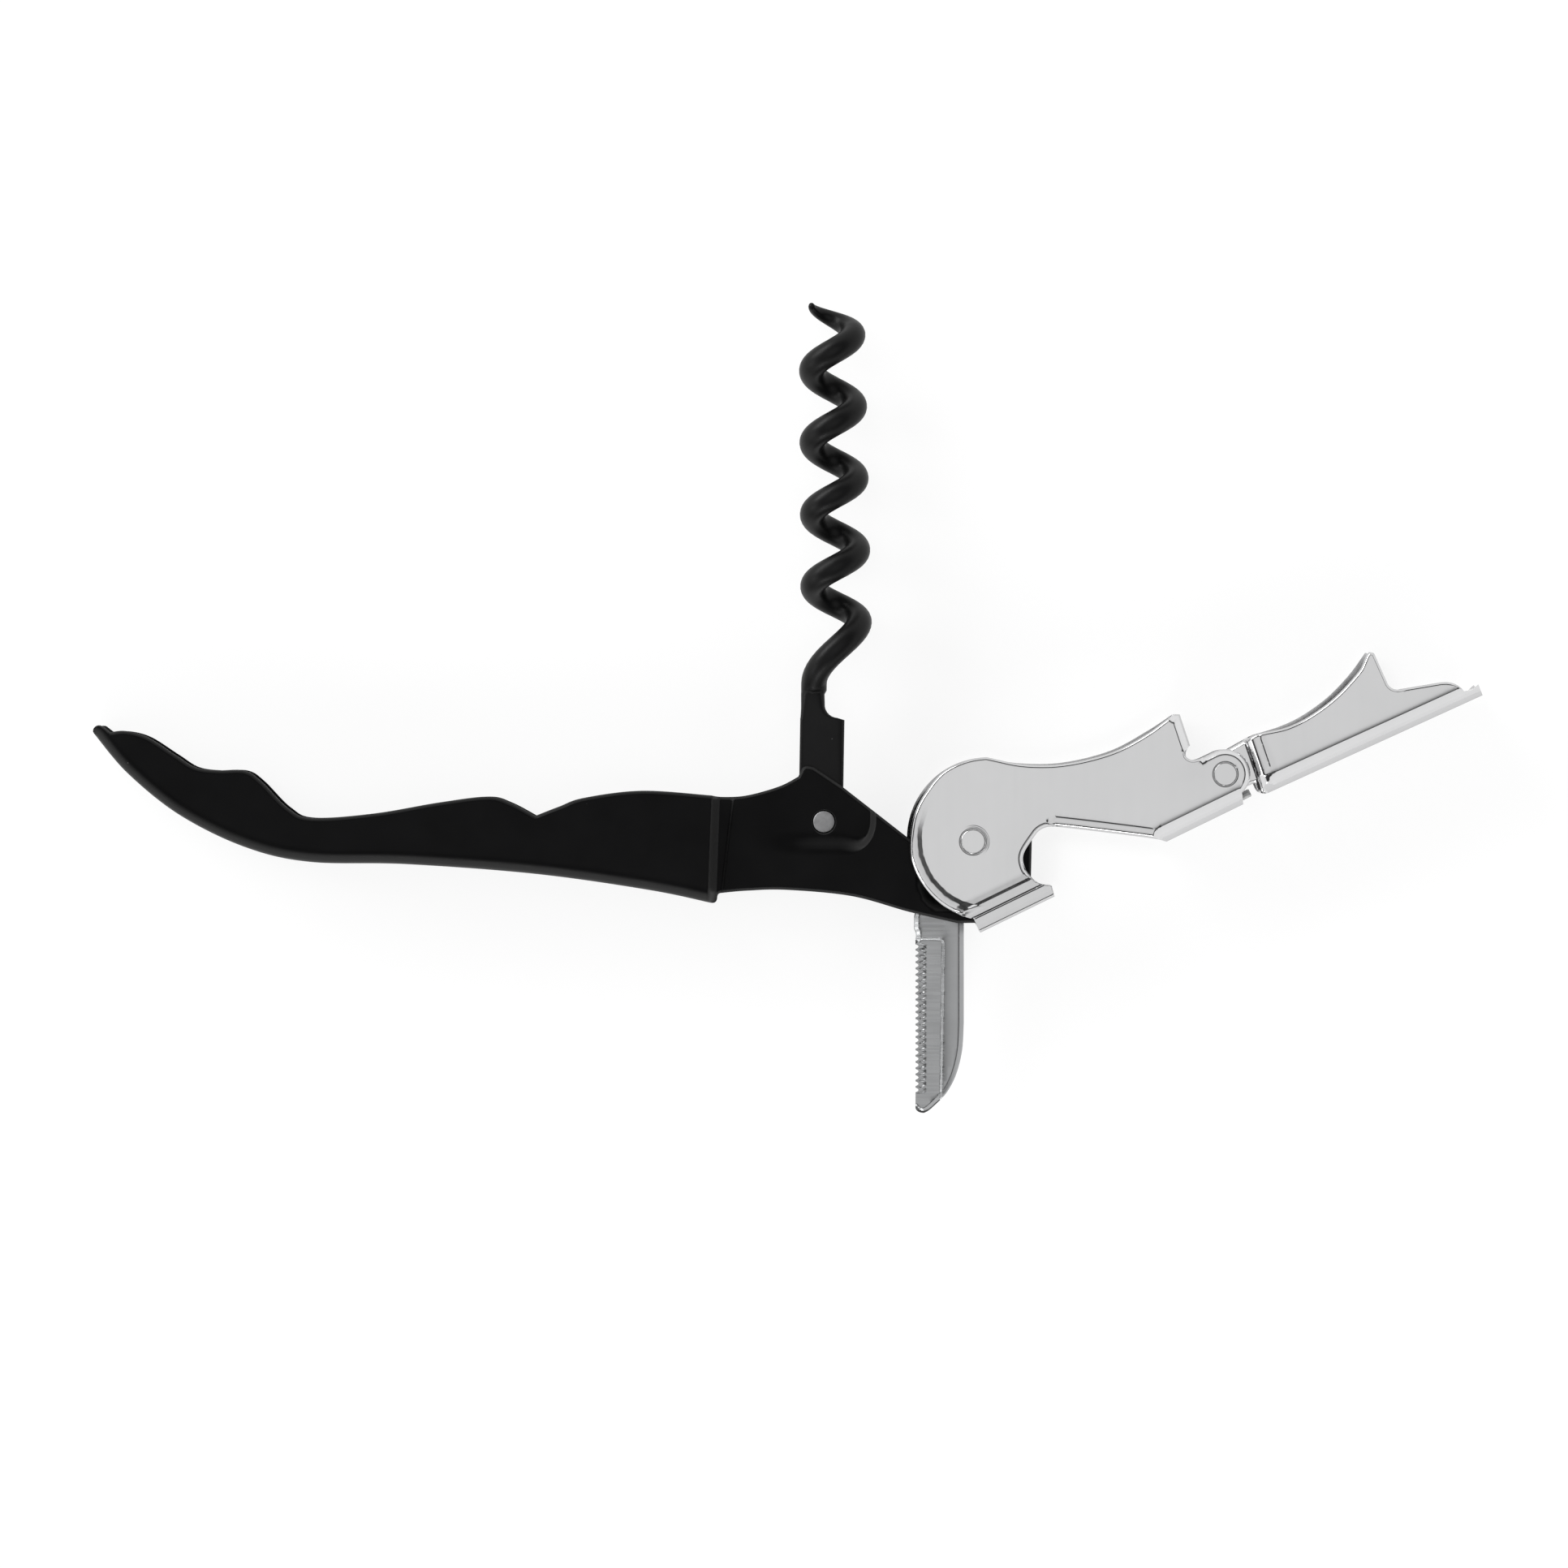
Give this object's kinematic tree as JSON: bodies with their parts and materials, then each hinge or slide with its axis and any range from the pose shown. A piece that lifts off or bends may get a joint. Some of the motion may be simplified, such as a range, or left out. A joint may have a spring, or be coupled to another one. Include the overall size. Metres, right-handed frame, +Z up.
{
  "type": "lever corkscrew",
  "caption": "Double-hinged pocket corkscrew with a sheet-steel handle, folding worm, serrated foil knife and a two-step lever with a crown-cap mouth, shown open.",
  "frame": {"origin": "middle of the underside of the open tool, lying on its side", "axes": "+X along the handle from its tip towards the lever, +Y the way the open worm points, +Z up through the thickness, parallel to every hinge"},
  "size_m": [0.1778, 0.104, 0.012],
  "materials": {
    "handle_paint": "satin black enamel",
    "worm_coating": "satin black non-stick coating",
    "rivet_steel": "matte",
    "blade_steel": "brushed",
    "plated_steel": "bright nickel plating"
  },
  "bodies": {
    "handle": {"handle": "handle_paint", "worm_rivet": "rivet_steel", "knife_rivet": "rivet_steel", "lever_pin": "plated_steel"},
    "worm": {"worm": "worm_coating"},
    "knife": {"knife": "blade_steel"},
    "lever": {"lever": "plated_steel", "boot_pin": "plated_steel"},
    "boot": {"boot": "plated_steel"}
  },
  "joints": [
    {"name": "worm_hinge", "type": "hinge", "parent": "handle", "child": "worm", "pos_m": [0.00457, -0.01462, 0.006], "axis": [0, 0, 1], "range_deg": [-60, 90]},
    {"name": "knife_hinge", "type": "hinge", "parent": "handle", "child": "knife", "pos_m": [0.02024, -0.02264, 0.006], "axis": [0, 0, 1], "range_deg": [-90, 12]},
    {"name": "lever_hinge", "type": "hinge", "parent": "handle", "child": "lever", "pos_m": [0.02364, -0.01714, 0.006], "axis": [0, 0, 1], "range_deg": [0, 75]},
    {"name": "boot_hinge", "type": "hinge", "parent": "lever", "child": "boot", "pos_m": [0.0559, -0.00852, 0.006], "axis": [0, 0, 1], "range_deg": [-12, 18]}
  ]
}
